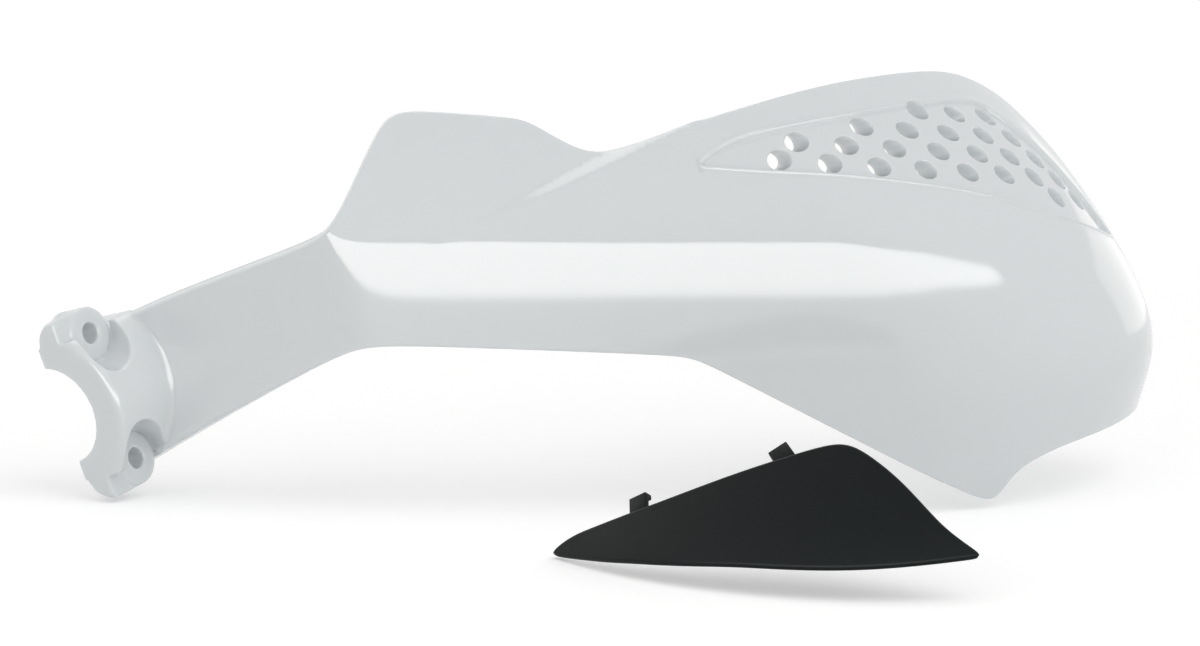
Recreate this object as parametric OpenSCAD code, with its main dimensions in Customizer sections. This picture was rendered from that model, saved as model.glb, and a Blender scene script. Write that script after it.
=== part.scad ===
// Motorcycle hand guard: one white moulding (half clamp, arm, winglet and shield with a vent panel)
// and the loose vent cover that stands in front of it.
// Frame: origin on the handlebar's axis, midway along the clamp. +X runs out along the guard,
// +Y points from the guard's face back to the rider, +Z is up.

/* [Handlebar clamp] */
// Diameter of the handlebar
bar_d = 28.6; // [25.4:0.1:31.8]
// Bore diameter over the handlebar diameter
bore_clearance = 0.4; // [0.2:0.1:1]
// Wall of the clamp outside the bore
clamp_wall = 10.5; // [9:0.5:12]
// Length of the clamp along the bar
clamp_len = 26; // [24:1:30]
// Gap that the bolts close between this half and its cap
split_gap = 4; // [2:0.5:5]
// Diameter of the holes for the clamp bolts
bolt_hole_d = 6.2; // [5.2:0.1:6.6]
// Wall between the bore and each bolt hole
bolt_web = 1.9; // [1.4:0.1:3]
// Radius of the boss round each bolt hole
ear_r = 7.8; // [7:0.2:8]
// Thickness of the clamp under the bolt head
ear_t = 10; // [9:0.5:11]
// Height of each boss above the pocket round it
boss_h = 1; // [0.4:0.2:1.2]
// Radius of the pocket round each boss
pocket_r = 8.2; // [8:0.1:8.6]
// Lean of the pockets toward the clamp's near edge
pocket_lean = 20; // [14:1:24]
// Rounding of the clamp's near edge
clamp_round = 2; // [0.5:0.5:3]

/* [Clamp angles] */
// Turn of the bolts from the guard's length, seen from above
bolt_yaw = -40; // [-46:1:-34]
// Rise of the bolts toward the shield
bolt_rise = 15; // [10:1:18]
// Droop of the bar's near end
bar_droop = 12.3; // [8:0.1:15]

/* [Wall] */
// Thickness of the moulding
wall = 3.6; // [3:0.2:4.4]
// Thickness of the moulding at the vent panel
vent_wall = 6; // [5:0.5:7]
// Height of the bead along the back of the edge
rim_h = 1.2; // [0.6:0.2:2]
// Width of the bead and of the arm's flanges
rim_w = 3.2; // [2.6:0.2:4.4]
// Rounding of the shield's front edge
edge_r = 1.2; // [0.6:0.2:1.6]

/* [Arm] */
// Depth of the arm's flanges
flange_d = 9; // [7:0.5:12]
// Rounding of the arm's front edges
arm_edge_r = 2.5; // [1.5:0.5:3]
// Thickness of the ribs across the back of the arm
rib_t = 2; // [1.6:0.2:2.6]
// Distance from one rib to the next
rib_pitch = 15; // [14:0.5:16]

/* [Guard outline] */
// Distance from the bar's axis to the far end of the guard
guard_reach = 316.5; // [306:0.5:326]
// How far the shield's face stands in front of the bar's axis
face_forward = 50; // [46:1:54]
// Distance from the bar's axis to the bend between arm and shield
bend_x = 80; // [78:1:82]
// Height of the lower edge at the bend
waist_z = 25.5; // [23:0.5:27]
// Height of the winglet
wing_z = 89.8; // [85:0.2:93]
// Length of the winglet's top edge
wing_len = 41.2; // [37:0.2:45]
// Height of the shield's highest point
peak_z = 97.8; // [95:0.2:100]
// Depth of the shield's lower tip below the bar's axis
tip_drop = 26.9; // [25:0.1:28]
// Distance of the lower tip inside the far end
tip_in = 51.3; // [46:0.1:56]
// Height of the level line above which the shield leans back
hip_z = 56; // [54:1:58]
// Radius of the bend that wraps the shield's end round the hand
wrap_r = 76; // [70:1:82]
// How far the end goes on past the square turn
wrap_return = 6; // [2:1:12]

/* [Vent panel] */
// Depth of the panel below the shield's face
panel_depth = 0.8; // [0.4:0.1:1.4]
// Diameter of the vent holes
vent_d = 7.2; // [5.6:0.2:7.6]
// Distance between the holes of a row
vent_pitch = 13.7; // [13.4:0.1:14]
// Height from one row of holes to the next
row_step = 5.3; // [5.1:0.1:5.5]

/* [Vent cover] */
// Thickness of the loose vent cover
cover_t = 2.4; // [1.8:0.2:3]
// Gap round the cover when it is in its panel
cover_gap = 0.3; // [0.2:0.1:0.6]
// Width of each clip
clip_w = 6; // [4:0.5:8]
// Length of each clip beyond the cover's edge
clip_len = 6; // [5:0.5:8]
// Thickness of each clip
clip_t = 1.6; // [1.2:0.2:2]

/* [Hidden] */
$fn = 64;

// Sizes of the clamp that follow from the bar and the bolts
bore_r = (bar_d + bore_clearance) / 2;
clamp_r = bore_r + clamp_wall;
bolt_off = bore_r + bolt_web + bolt_hole_d / 2;
split_x = split_gap / 2;
seat_x = split_x + ear_t;

// The clamp's outer wall goes on into the arm by this much, with room round the bar
hub_back = 4;
bar_relief = 1;
// The pockets lean inward by this angle. They start a little behind the bolts
pocket_in = 14;
pocket_back = 0.7;
// The ring is cut flat this far outside the bolts' axes
flat_out = 1;
// The arm starts here, inside the clamp
root_x = 8;
// First rib across the back of the arm, and how many there are
rib_x = 27;
rib_count = 3;
// Width of the steep side of a rib, flange or bead
draft = 0.6;

// Outline points: [place along the guard, height, rounding of the corner]
wing_x = bend_x + 7.8;
dip_x = wing_x + wing_len + 18.9;
tip_x = guard_reach - tip_in;
peak_x = tip_x - 11;
far_x = guard_reach + 5;
// The shield's lower edge runs level for this length, and sinks a little on the way
level_len = 96.7;
level_sink = 4.3;
top_edge = [
    [root_x, 24, 0],
    [root_x + 14, 32, 8],
    [bend_x - 6, 57.6, 5],
    [wing_x, wing_z, 4],
    [wing_x + wing_len, wing_z - 3, 4],
    [dip_x, wing_z - 14.5, 8],
    [dip_x + 0.283 * (peak_x - dip_x), peak_z - 9.3, 20],
    [dip_x + 0.641 * (peak_x - dip_x), peak_z, 20],
    [peak_x, peak_z, 12],
    [peak_x + 16, peak_z - 12.2, 6],
    [peak_x + 36, peak_z - 34.4, 0]];
low_edge = [
    [root_x, -23.6, 0],
    [bend_x + 1.6, waist_z, 7],
    [bend_x + level_len, waist_z - level_sink, 4],
    [tip_x, -tip_drop, 3],
    [tip_x + 4.6, 11.6 - tip_drop, 4],
    [tip_x + 17.2, 17 - tip_drop, 8],
    [tip_x + 46.7, 20.5 - tip_drop, 0]];
// How far the far end reaches at each height: [height, reach, rounding]
far_edge = [
    [-30, far_x - 15.5, 0],
    [-3, far_x - 9, 10],
    [12, far_x, 14],
    [34, far_x - 10.5, 14],
    [62, far_x - 27.4, 20],
    [84, far_x - 48.4, 14],
    [100, far_x - 68, 0]];
// The panel's upper and lower lines: [place along the guard, height, rounding]
wrap_x = guard_reach - wrap_r;
panel_lead = 37;
panel_margin = 8.9;
panel_s = wrap_x - panel_lead;
panel_z = peak_z - 22.8;
panel_end = wrap_x + wrap_r * PI / 2 - panel_margin;
panel_top = [
    [panel_s, panel_z + 0.3, 0],
    [panel_s + 51, panel_z + 9.3, 20],
    [panel_s + 91.5, panel_z + 12.9, 20],
    [panel_end - 24, panel_z + 10.8, 4],
    [panel_end - 10.2, panel_z - 2.4, 6],
    [panel_end, panel_z - 28, 0]];
panel_low = [
    [panel_s, panel_z, 0],
    [panel_s + 52, panel_z - 1.7, 12],
    [panel_s + 84, panel_z - 7.1, 12],
    [panel_end, panel_z - 29.5, 0]];

function smooth(t) = let (c = min(1, max(0, t))) c * c * (3 - 2 * c);
// A straight rise that starts softly over the width w
function ramp(t, w) = 0.5 * (t + sqrt(t * t + w * w));
// The greater of p and q, with a soft change of the width w
function soft_max(p, q, w) = 0.5 * (p + q + sqrt((p - q) * (p - q) + w * w));
function slope(pts, i) = (pts[i + 1][1] - pts[i][1]) / (pts[i + 1][0] - pts[i][0]);
// Height at x of a line of straight runs with rounded corners
function run(x, pts, i = 1) =
    i >= len(pts) - 1
        ? pts[0][1] + slope(pts, 0) * (x - pts[0][0])
        : run(x, pts, i + 1) + (slope(pts, i) - slope(pts, i - 1)) * ramp(x - pts[i][0], pts[i][2]);

// How far the shield leans back at the height z
lean_start = 0.42;
lean_gain = 0.006;
belly_z = 40;
belly_r = 175;
function lean(z) = let (t = ramp(z - hip_z, 5))
    (z - belly_z) * (z - belly_z) / (2 * belly_r) + lean_start * t + lean_gain * t * t;
// The winglet leans back further than the shield, left of the crease between them
crease_x = bend_x + 47;
crease_slope = 0.78;
crease_w = 6;
function crease_dist(x, z) = ((z - hip_z + 1.2) - crease_slope * (x - crease_x))
    / sqrt(1 + crease_slope * crease_slope);
function wing_back(x, z) = 0.22 * ramp(z - hip_z, 4) * smooth(crease_dist(x, z) / crease_w + 0.5);
// The arm's face stands upright at the clamp and twists to a lean at the bend
arm_start = 8.4;
arm_slope = 0.605;
arm_twist = 0.00434;
upright_x = 20;
function arm_y(x, z) = arm_start - arm_slope * x - arm_twist * (x - upright_x) * z;
bend_soft = 3;
face_slope = 0.03;

// A point of the front face: s runs along the guard, z is the height
shear_len = 90.5;
function wrap_angle(s) = max(0, (s - wrap_x) / wrap_r) * 180 / PI;
function face_x(s, z) = (s < wrap_x ? s : wrap_x + wrap_r * sin(wrap_angle(s)))
    + smooth((s - wrap_x) / shear_len + 1) * (run(z, far_edge) - guard_reach);
function face(s, z) = let (x = face_x(s, z))
    [x, soft_max(arm_y(x, z),
        lean(z) + wing_back(x, z) + face_slope * (x - bend_x) + wrap_r * (1 - cos(wrap_angle(s)))
        - face_forward, bend_soft), z];
function unit(v) = v / norm(v);
// The outward direction at that point
step = 0.05;
function face_out(s, z) =
    unit(cross(face(s + step, z) - face(s - step, z), face(s, z + step) - face(s, z - step)));
// Height at which the line s crosses an outline, found by halving
function cross_z(s, edge, lo, hi, n = 16) = let (m = (lo + hi) / 2)
    n == 0 ? m : m < run(face_x(s, m), edge)
        ? cross_z(s, edge, m, hi, n - 1) : cross_z(s, edge, lo, m, n - 1);

// A closed skin over rows of points: front and back hold the same rows
module skin(front, back) {
    rows = len(front);
    cols = len(front[0]);
    total = rows * cols;
    points = concat([for (r = front) each r], [for (r = back) each r]);
    function quad(a, b, c, d) = [[a, b, c], [a, c, d]];
    faces = [
        for (i = [0:rows - 2], j = [0:cols - 2]) let (a = i * cols + j, b = a + cols)
            each concat(quad(a, a + 1, b + 1, b), quad(total + a, total + b, total + b + 1, total + a + 1)),
        for (i = [0:rows - 2]) let (a = i * cols, b = a + cols, c = a + cols - 1, d = b + cols - 1)
            each concat(quad(a, b, total + b, total + a), quad(c, total + c, total + d, d)),
        for (j = [0:cols - 2]) let (a = j, b = (rows - 1) * cols + j)
            each concat(quad(a, total + a, total + a + 1, a + 1), quad(b, b + 1, total + b + 1, total + b))];
    polyhedron(points = points, faces = faces, convexity = 8);
}

// Lines s along the guard: the ribbed arm, the shield and the wrapped end
function spread(a, b, n) = [for (i = [0:n - 1]) a + (b - a) * i / n];
wrap_end = wrap_x + wrap_r * PI / 2 + wrap_return;
lines = concat(
    [root_x, root_x + 6, root_x + 12],
    [for (i = [0:rib_count - 1]) let (r = rib_x + i * rib_pitch)
        each [r - draft, r, r + rib_t, r + rib_t + draft, r + (rib_t + rib_pitch) / 2]],
    spread(rib_x + rib_count * rib_pitch - 1, wing_x + wing_len + 24, 22),
    spread(wing_x + wing_len + 24, wrap_x, 15),
    spread(wrap_x, wrap_end - rim_w - draft, 17),
    [for (e = [rim_w + draft, rim_w, edge_r, 0.29 * edge_r, 0]) wrap_end - e]);
function on_rib(s) = s > wrap_end - rim_w - draft / 2 ? 1 : max([for (i = [0:rib_count - 1])
    let (r = rib_x + i * rib_pitch) s > r - draft / 2 && s < r + rib_t + draft / 2 ? 1 : 0]);
// How much of the arm there is at s: 1 at the clamp, 0 on the shield
function armness(s) = 1 - smooth((s - bend_x + 14) / 14);
function flange(s) = wall + rim_h + (flange_d - wall - rim_h) * armness(s);
function edge_round(s) = edge_r + (arm_edge_r - edge_r) * armness(s);
// Depth of the wall behind the face, with the thicker part behind the vents
pad_fade = 5;
function wall_at(s, z) = wall + (vent_wall - wall)
    * smooth((z - run(s, panel_low)) / pad_fade + 1) * smooth((run(s, panel_top) - z) / pad_fade + 1)
    * smooth((s - panel_s) / pad_fade) * smooth((panel_end - s) / pad_fade + 1);

mid_rows = 15;
// Heights across one line: rounded edge, flange, then even steps
function across(s, lo, hi) = let (
        r = edge_round(s),
        ends = [0, 0.29 * r, r, max(r + 0.1, rim_w), max(r + 0.1, rim_w) + draft],
        span = hi - lo, last = ends[4])
    concat([for (e = ends) [lo + e, e]],
        [for (i = [1:mid_rows]) let (e = last + (span - 2 * last) * i / (mid_rows + 1)) [lo + e, last]],
        [for (i = [4:-1:0]) [hi - ends[i], ends[i]]]);
function edge_drop(e, r) = e >= r ? 0 : r - sqrt(r * r - (r - e) * (r - e));

// The outlines are looked for up to this far beyond the tip and the peak
reserve = 18;
// The far end's two corners are rounded by this radius
corner_r = 22;
function corner(s) = let (q = max(0, s - wrap_end + corner_r)) corner_r - sqrt(corner_r * corner_r - q * q);

module shell() {
    table = [for (s = lines) let (
            lo = cross_z(s, low_edge, -tip_drop - reserve, waist_z + 4) + 0.6 * corner(s),
            hi = cross_z(s, top_edge, waist_z - 4, peak_z + reserve) - corner(s))
        [for (h = across(s, lo, hi)) let (
                p = face(s, h[0]), n = face_out(s, h[0]), w = wall_at(s, h[0]),
                deep = max(on_rib(s), h[1] < rim_w + draft / 2 ? 1 : 0))
            [p - n * max(edge_drop(h[1], edge_round(s)), edge_drop(wrap_end - s, edge_r)),
                p - n * (w + (flange(s) - w) * deep)]]];
    skin([for (row = table) [for (q = row) q[0]]], [for (row = table) [for (q = row) q[1]]]);
}

// The panel's pointed start is cut off by this much
panel_blunt = 3;
// A slab that follows the face inside the panel's outline, from one depth to another
module panel_slab(outer, inner, shrink, cols) {
    first = panel_s + 3 * shrink + panel_blunt;
    last = panel_end - shrink;
    table = [for (s = concat(spread(first, last, cols), [last])) let (
            lo = run(s, panel_low) + shrink,
            hi = max(lo + 0.4, run(s, panel_top) - shrink))
        [for (j = [0:6]) let (z = lo + (hi - lo) * j / 6, p = face(s, z), n = face_out(s, z))
            [p + n * outer, p - n * inner]]];
    skin([for (row = table) [for (q = row) q[0]]], [for (row = table) [for (q = row) q[1]]]);
}

// Places its children on the face, with local Z pointing out of it and local X along the guard
module on_face(s, z) {
    p = face(s, z);
    n = face_out(s, z);
    t = unit(face(s + step, z) - face(s - step, z));
    u = cross(n, t);
    multmatrix([[t[0], u[0], n[0], p[0]], [t[1], u[1], n[1], p[1]], [t[2], u[2], n[2], p[2]]]) children();
}

// First hole of the lowest full row, and how far each row starts along from the row below
vent_s = panel_s + 38.2;
vent_z = panel_z + 0.9;
row_shift = 9.5;
// The rows sink toward the far end, more and more
row_sink = 0.075;
row_sag = 0.0006;
// Each row of holes: [row, first place, last place]
vent_rows = [[-1, 7, 8], [0, 0, 7], [1, 0, 6], [2, 1, 5], [3, 2, 4]];
module vents() {
    for (r = vent_rows, k = [r[1]:r[2]]) {
        along = k * vent_pitch + r[0] * row_shift;
        z = vent_z + r[0] * row_step - row_sink * along - row_sag * along * along;
        on_face(vent_s + along, z)
            translate([0, 0, -vent_wall - 4]) cylinder(d = vent_d, h = vent_wall + 8, $fn = 32);
    }
}

// Local X is the bolts' direction, local Z the bar's near end
module clamp_frame() { rotate([90 + bar_droop, -bolt_rise, bolt_yaw]) children(); }

// A rod along the bar, with a rounded near edge
module round_rod(r, low, high) {
    rotate_extrude($fn = 96) {
        translate([0, low]) square([r - clamp_round, high - low]);
        translate([0, low]) square([r, high - low - clamp_round]);
        translate([r - clamp_round, high - clamp_round]) circle(clamp_round);
    }
}

module clamp_ring() {
    flat = bolt_off + flat_out;
    intersection() {
        round_rod(clamp_r, -clamp_len / 2 - hub_back, clamp_len / 2);
        translate([split_x, -flat, -clamp_len]) cube([clamp_r, 2 * flat, 2 * clamp_len]);
    }
}

// Round pockets that let the bolt heads down to their bosses
pocket_x = seat_x - boss_h;
module clamp_pockets() {
    intersection() {
        for (side = [-1, 1]) translate([pocket_x, side * bolt_off, -pocket_back])
            rotate([0, 90 - pocket_lean, -side * pocket_in])
                cylinder(r = pocket_r, h = 2 * clamp_r, center = true);
        translate([pocket_x, -2 * clamp_r, -clamp_len]) cube([clamp_r - pocket_x, 4 * clamp_r, 2 * clamp_len]);
    }
}

// A boss round each bolt, and a web that joins it to the near edge
web_r = pocket_x - split_x - 1;
module clamp_ears() {
    for (side = [-1, 1]) translate([split_x, side * bolt_off, 0]) {
        rotate([0, 90, 0]) cylinder(r = ear_r, h = ear_t);
        intersection() {
            translate([web_r, 0, 0]) round_rod(web_r, 0, clamp_len / 2);
            translate([-1, -web_r - 1, -1]) cube([pocket_x - split_x + 1, 2 * web_r + 2, clamp_len]);
        }
    }
}

// Bolt holes, the bore, and the room that the cap needs beside the arm
module clamp_cuts() {
    cylinder(r = bore_r, h = 4 * clamp_len, center = true, $fn = 96);
    translate([0, 0, -2.5 * clamp_len]) cylinder(r = bore_r + bar_relief, h = 2 * clamp_len, $fn = 96);
    translate([split_x - 2 * clamp_r, -2 * clamp_r, -clamp_len]) cube([2 * clamp_r, 4 * clamp_r, 2 * clamp_len]);
    for (side = [-1, 1]) translate([0, side * bolt_off, 0])
        rotate([0, 90, 0]) cylinder(d = bolt_hole_d, h = 2 * clamp_r);
}

module guard_shell() {
    color("whitesmoke") difference() {
        union() {
            difference() {
                union() {
                    shell();
                    clamp_frame() clamp_ring();
                }
                clamp_frame() clamp_pockets();
            }
            clamp_frame() clamp_ears();
        }
        clamp_frame() clamp_cuts();
        panel_slab(2, panel_depth, 0, 24);
        vents();
    }
}

// The cover has the panel's outline. It stands by itself on its lower edge, in front of the guard
cover_pivot = [250, 0, 72];
// Places of the two clips along the upper edge, and how far they lean toward the clamp
first_clip = 57;
second_clip = 105;
clip_s = [panel_s + first_clip, panel_s + second_clip];
clip_lean = 15;
clip_root = 4;
hook = 1.2;
module clip(s) {
    on_face(s, run(s, panel_top) - cover_gap) rotate([0, 0, clip_lean])
        translate([-clip_w / 2, -clip_root, -panel_depth - clip_t + 0.2]) {
            cube([clip_w, clip_root + clip_len, clip_t]);
            translate([0, clip_root + clip_len - clip_t, -hook]) cube([clip_w, clip_t, clip_t + hook]);
        }
}

cover_turn = [21.8, -8.5, -56.2];
cover_at = [200.9, -135, -7.4];
module vent_cover() {
    color("#1e2222") translate(cover_at) rotate(cover_turn) translate(-cover_pivot) {
        panel_slab(cover_t - panel_depth, panel_depth, cover_gap, 28);
        for (s = clip_s) clip(s);
    }
}

guard_shell();
vent_cover();
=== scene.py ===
# %% [markdown]
# # A moulded motorcycle hand guard
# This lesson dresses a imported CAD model: a white hand guard, moulded in one piece with half of a
# handlebar clamp, and the loose black cover of its vent panel. The CAD solids keep every size. The
# lesson makes finer surfaces in the same places, gives them plastic finishes, and lights them in a
# plain white studio.
#
# First the frame is loaded. Every object below is in metres, in the CAD model's own axes. The
# helpers work in millimetres, because that is how a mould maker thinks, and convert at the end.

# %% Load the frame
import math

import bpy
import bmesh
import numpy as np
from mathutils import Euler, Matrix, Vector
from mathutils.geometry import delaunay_2d_cdt


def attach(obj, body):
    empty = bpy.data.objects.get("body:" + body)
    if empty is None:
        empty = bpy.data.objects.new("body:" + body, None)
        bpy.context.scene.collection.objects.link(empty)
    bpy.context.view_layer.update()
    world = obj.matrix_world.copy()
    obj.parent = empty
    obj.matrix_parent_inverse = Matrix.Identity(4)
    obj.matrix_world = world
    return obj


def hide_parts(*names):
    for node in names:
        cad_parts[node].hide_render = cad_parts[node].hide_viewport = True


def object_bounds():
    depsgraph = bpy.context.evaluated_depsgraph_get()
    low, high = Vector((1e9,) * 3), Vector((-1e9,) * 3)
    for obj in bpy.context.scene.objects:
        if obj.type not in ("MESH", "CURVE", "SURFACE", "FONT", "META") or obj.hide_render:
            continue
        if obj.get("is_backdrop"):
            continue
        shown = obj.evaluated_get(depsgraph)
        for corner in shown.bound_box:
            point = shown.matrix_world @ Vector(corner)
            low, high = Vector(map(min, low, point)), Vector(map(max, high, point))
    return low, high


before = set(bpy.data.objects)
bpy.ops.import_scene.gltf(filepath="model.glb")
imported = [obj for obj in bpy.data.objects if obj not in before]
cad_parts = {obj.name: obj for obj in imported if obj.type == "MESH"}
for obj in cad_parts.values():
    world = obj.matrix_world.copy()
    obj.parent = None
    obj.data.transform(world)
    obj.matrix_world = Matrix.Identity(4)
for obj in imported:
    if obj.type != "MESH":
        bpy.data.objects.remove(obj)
MM = 0.001
cad_box = [list(corner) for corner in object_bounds()]
floor_z = cad_box[0][2]
scene = bpy.context.scene
scene.view_settings.view_transform = "Standard"
print("CAD box in mm:", [[round(v / MM, 1) for v in corner] for corner in cad_box])


def placed(name, data):
    """A new object for some data, in the scene."""
    made = bpy.data.objects.new(name, data)
    scene.collection.objects.link(made)
    return made


# %% [markdown]
# ## Camera
# The guard is seen from the front, about ten degrees from above, with a long lens, so that it
# hardly narrows with distance. A camera could be aimed by hand, but a set position and a set focal
# length are easier to match to a picture of known size. A sensor 36 mm wide is Blender's default.

# %% Camera
CAMERA_PLACE, CAMERA_TILT, LENS, SENSOR = (150.26, -2560.6, 451.7), 80.5, 267.5, 36
camera_data = bpy.data.cameras.new("studio_camera")
camera_data.lens = LENS
camera_data.sensor_width = SENSOR
camera_data.clip_end = 20
camera = placed("studio_camera", camera_data)
camera.location = Vector(CAMERA_PLACE) * MM
camera.rotation_euler = (math.radians(CAMERA_TILT), 0, 0)
scene.camera = camera
print("Camera stands", round(camera.location.length, 2), "m from the clamp")

# %% [markdown]
# ## The guard's surface as a formula
# The face of the guard is a flat arm that meets a shield. The shield stands upright at its foot,
# leans back above a level line at half height, and wraps round the hand at its far end. It could be
# sculpted, but a formula gives a face without dents, and gives exact normals for clean reflections.
# The same sizes as in the CAD source are used, in millimetres. `s` runs along the guard, `z` is the
# height.

# %% Sizes of the guard
# Along the guard: the arm's end, the full reach, and the wrap round the hand
BEND_X, REACH, WRAP_R, WRAP_RETURN = 80.0, 316.5, 76.0, 6.0
# How far the face stands before the bar, the level line above which it leans, the waist
FACE_FORWARD, HIP_Z, WAIST_Z = 50.0, 56.0, 25.5
# The winglet, the peak, the lower tip, and the arm's root in the clamp
WING_Z, WING_LEN, PEAK_Z = 89.8, 41.2, 97.8
TIP_X, TIP_DROP, ROOT_X = 265.2, 26.9, 8.0
# Walls, the bead along the back of the edge, the arm's flanges, and the rolled edges
WALL, VENT_WALL, RIM_H, RIM_W, FLANGE_D = 3.6, 6.0, 1.2, 3.2, 9.0
EDGE_R, ARM_EDGE_R = 1.2, 2.5
# The vent panel and its loose cover
PANEL_DEPTH, VENT_R, VENT_PITCH, ROW_STEP = 0.8, 3.6, 13.7, 5.3
COVER_T, COVER_GAP = 2.4, 0.3
WRAP_X = REACH - WRAP_R
WRAP_END = WRAP_X + WRAP_R * math.pi / 2 + WRAP_RETURN
WING_X, PEAK_X, FAR_X, SHEAR_LEN = BEND_X + 7.8, TIP_X - 11, REACH + 5, 90.5
print("The wrap starts at", WRAP_X, "mm and ends at", round(WRAP_END, 1), "mm along the guard")

# %% Straight runs with rounded corners
def ramp(t, w):
    """0 before the corner and t after it, rounded over about w."""
    return 0.5 * (t + np.sqrt(t * t + w * w))


def smooth(t):
    c = np.clip(t, 0, 1)
    return c * c * (3 - 2 * c)


def run(x, corners):
    """Height at x of a line through (place, height, rounding) corners."""
    slopes = [(b[1] - a[1]) / (b[0] - a[0]) for a, b in zip(corners, corners[1:])]
    height = corners[0][1] + slopes[0] * (x - corners[0][0])
    for corner, before, after in zip(corners[1:], slopes, slopes[1:]):
        height = height + (after - before) * ramp(x - corner[0], corner[2])
    return height


# %% Outlines of the guard and of its panel
top_edge = [(ROOT_X, 24, 0), (ROOT_X + 14, 32, 8), (BEND_X - 6, 57.6, 5), (WING_X, WING_Z, 4),
            (WING_X + WING_LEN, WING_Z - 3, 4), (WING_X + WING_LEN + 18.9, WING_Z - 14.5, 8),
            (PEAK_X - 76.2, PEAK_Z - 9.3, 20), (PEAK_X - 38.2, PEAK_Z, 20), (PEAK_X, PEAK_Z, 12),
            (PEAK_X + 16, PEAK_Z - 12.2, 6), (PEAK_X + 36, PEAK_Z - 34.4, 0)]
low_edge = [(ROOT_X, -23.6, 0), (BEND_X + 1.6, WAIST_Z, 7), (BEND_X + 96.7, WAIST_Z - 4.3, 4),
            (TIP_X, -TIP_DROP, 3), (TIP_X + 4.6, 11.6 - TIP_DROP, 4),
            (TIP_X + 17.2, 17 - TIP_DROP, 8), (TIP_X + 46.7, 20.5 - TIP_DROP, 0)]
far_edge = [(-30, FAR_X - 15.5, 0), (-3, FAR_X - 9, 10), (12, FAR_X, 14), (34, FAR_X - 10.5, 14),
            (62, FAR_X - 27.4, 20), (84, FAR_X - 48.4, 14), (100, FAR_X - 68, 0)]
PANEL_S, PANEL_Z = WRAP_X - 37, PEAK_Z - 22.8
PANEL_END = WRAP_X + WRAP_R * math.pi / 2 - 8.9
panel_top = [(PANEL_S, PANEL_Z + 0.3, 0), (PANEL_S + 51, PANEL_Z + 9.3, 20),
             (PANEL_S + 91.5, PANEL_Z + 12.9, 20), (PANEL_END - 24, PANEL_Z + 10.8, 4),
             (PANEL_END - 10.2, PANEL_Z - 2.4, 6), (PANEL_END, PANEL_Z - 28, 0)]
panel_low = [(PANEL_S, PANEL_Z, 0), (PANEL_S + 52, PANEL_Z - 1.7, 12),
             (PANEL_S + 84, PANEL_Z - 7.1, 12), (PANEL_END, PANEL_Z - 29.5, 0)]
print("Winglet's top left corner is at height", round(float(run(WING_X, top_edge)), 1), "mm")

# %% The face itself
ARM_Y, ARM_SLOPE, ARM_TWIST, TWIST_X = 8.4, 0.605, 0.00434, 20
FOOT_Z, FOOT_CURVE, HIP_SLOPE, HIP_CURVE, HIP_SOFT = 40, 350, 0.42, 0.006, 5
CREASE_X, CREASE_Z, CREASE_SLOPE, CREASE_W, WING_SLOPE = 31.8, 1.8, 0.455, 3.5, 0.22
FACE_SLOPE, BEND_SOFT = 0.03, 3


def wrap_angle(s):
    return np.maximum(0, (s - WRAP_X) / WRAP_R)


def face_x(s, z):
    straight = np.where(s < WRAP_X, s, WRAP_X + WRAP_R * np.sin(wrap_angle(s)))
    return straight + smooth((s - WRAP_X) / SHEAR_LEN + 1) * (run(z, far_edge) - REACH)


def arm_y(x, z):
    """The arm's face stands upright at the clamp and twists to a lean at the bend."""
    return ARM_Y - ARM_SLOPE * x - ARM_TWIST * (x - TWIST_X) * z


def lean(z):
    t = ramp(z - HIP_Z, HIP_SOFT)
    return (z - FOOT_Z) ** 2 / FOOT_CURVE + HIP_SLOPE * t + HIP_CURVE * t * t


def wing_back(x, z):
    """The winglet leans back further than the shield, behind a sharp slanting crease."""
    rise = (z - HIP_Z - CREASE_Z) - CREASE_SLOPE * (x - (BEND_X + CREASE_X))
    crease = rise / math.sqrt(1 + CREASE_SLOPE ** 2)
    return WING_SLOPE * ramp(z - HIP_Z - 1, 2) * smooth(crease / CREASE_W + 0.5)


def face(s, z):
    s, z = np.asarray(s, float), np.asarray(z, float)
    x = face_x(s, z)
    arm = arm_y(x, z)
    shield = (lean(z) + wing_back(x, z) + FACE_SLOPE * (x - BEND_X)
              + WRAP_R * (1 - np.cos(wrap_angle(s))) - FACE_FORWARD)
    y = 0.5 * (arm + shield + np.sqrt((arm - shield) ** 2 + BEND_SOFT ** 2))
    return np.stack([x, y, z + 0 * x], -1)


print("Foremost point of the lower face:", face(150.0, 40.0).round(1))

# %% Directions on the face
def unit(v):
    return v / np.linalg.norm(v, axis=-1, keepdims=True)


def face_frame(s, z, step=0.05):
    """Two tangents, as 3D steps for a step of s and of z, and the outward normal."""
    along = (face(s + step, z) - face(s - step, z)) / (2 * step)
    up = (face(s, z + step) - face(s, z - step)) / (2 * step)
    return along, up, unit(np.cross(along, up))


def cross_z(s, edge, low, high):
    """Height at which the line s crosses an outline, found by halving."""
    low, high = low + 0 * s, high + 0 * s
    for _ in range(20):
        middle = (low + high) / 2
        below = middle < run(face_x(s, middle), edge)
        low, high = np.where(below, middle, low), np.where(below, high, middle)
    return (low + high) / 2


print("The lower face looks towards", face_frame(np.array(150.0), 40.0)[2].round(2))

# %% [markdown]
# ## A moulding made from one outline
# Both plastic pieces are thin mouldings: a front sheet, a back sheet, and an edge between the two.
# Blender's Solidify modifier gives such a wall, but not a rim bead at the back, a recess, or holes
# with softened mouths. Here the sheet is cut out of the (s, z) plane by Delaunay triangulation,
# with the rings of the holes as fixed edges, and then laid on the face. The front's normals come
# from the formula, recess and bead included, so that the gloss stays smooth over any triangle.

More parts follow.
